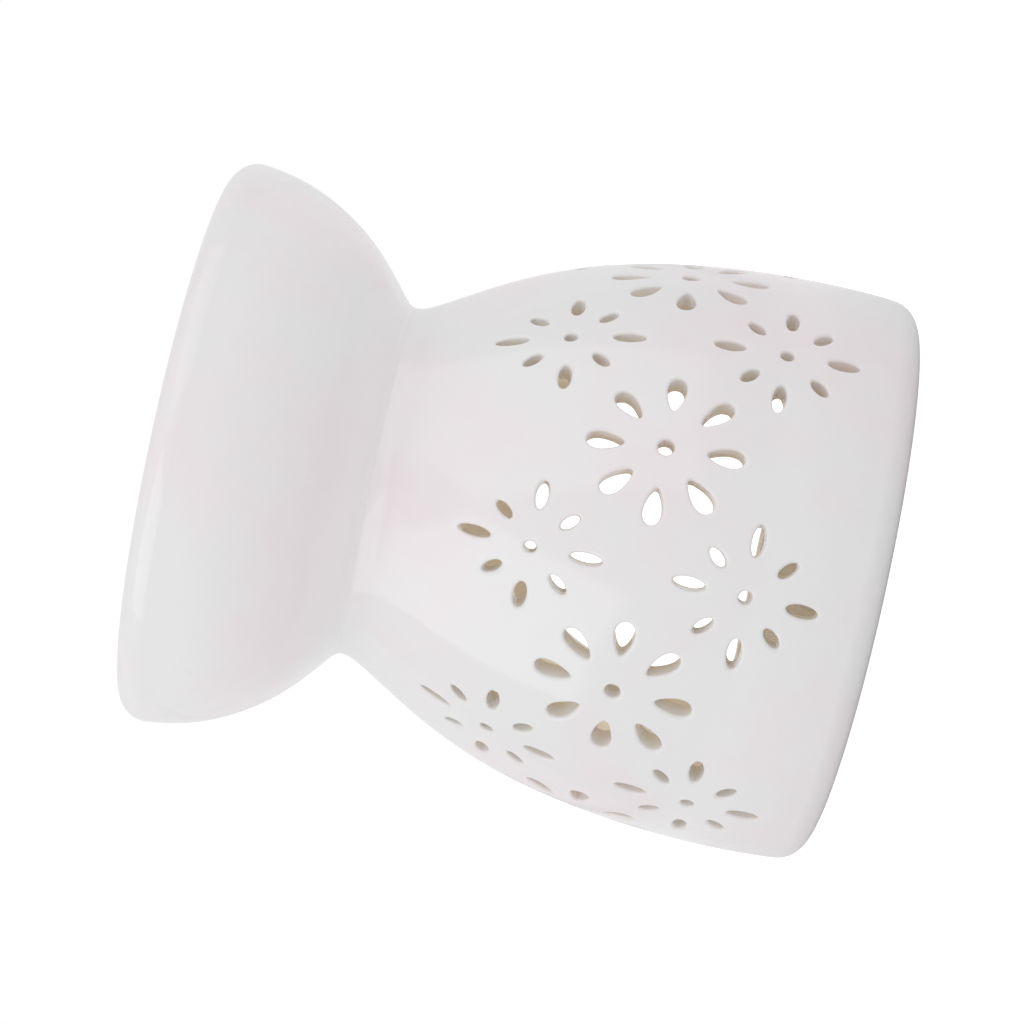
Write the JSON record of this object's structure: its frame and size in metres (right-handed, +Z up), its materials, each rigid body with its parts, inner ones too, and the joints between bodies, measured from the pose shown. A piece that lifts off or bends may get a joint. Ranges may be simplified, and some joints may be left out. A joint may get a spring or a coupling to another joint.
{
  "type": "tealight holder",
  "caption": "Pierced ceramic tealight holder: a bell-shaped burner chamber with a rear arch carries an open oil dish on a narrow waist; a tealight stands inside.",
  "frame": {"origin": "centre of the standing ring, on the surface that the holder stands on", "axes": "+Z up along the pot's axis; the arch for the tealight faces +Y and the middle column of flowers faces -Y"},
  "size_m": [0.0996, 0.0997, 0.12],
  "materials": {
    "chamber_glaze": "white gloss glaze over a white body, thinner and warmer at the cut edges",
    "bowl_glaze": "white gloss glaze",
    "cup_aluminium": "drawn foil, bright",
    "candle_wax": "white paraffin wax, satin",
    "sustainer_steel": "tinned sheet steel",
    "wick_cotton": "waxed cotton braid"
  },
  "bodies": {
    "holder": {"pierced_chamber": "chamber_glaze", "oil_bowl": "bowl_glaze"},
    "tealight": {"tealight_cup": "cup_aluminium", "tealight_wax": "candle_wax", "wick_sustainer": "sustainer_steel", "wick": "wick_cotton"}
  },
  "joints": [
    {"name": "tealight_lift_out", "type": "slide", "parent": "holder", "child": "tealight", "axis": [0, 0.9063, 0.4226], "range_m": [0, 0.082]}
  ]
}
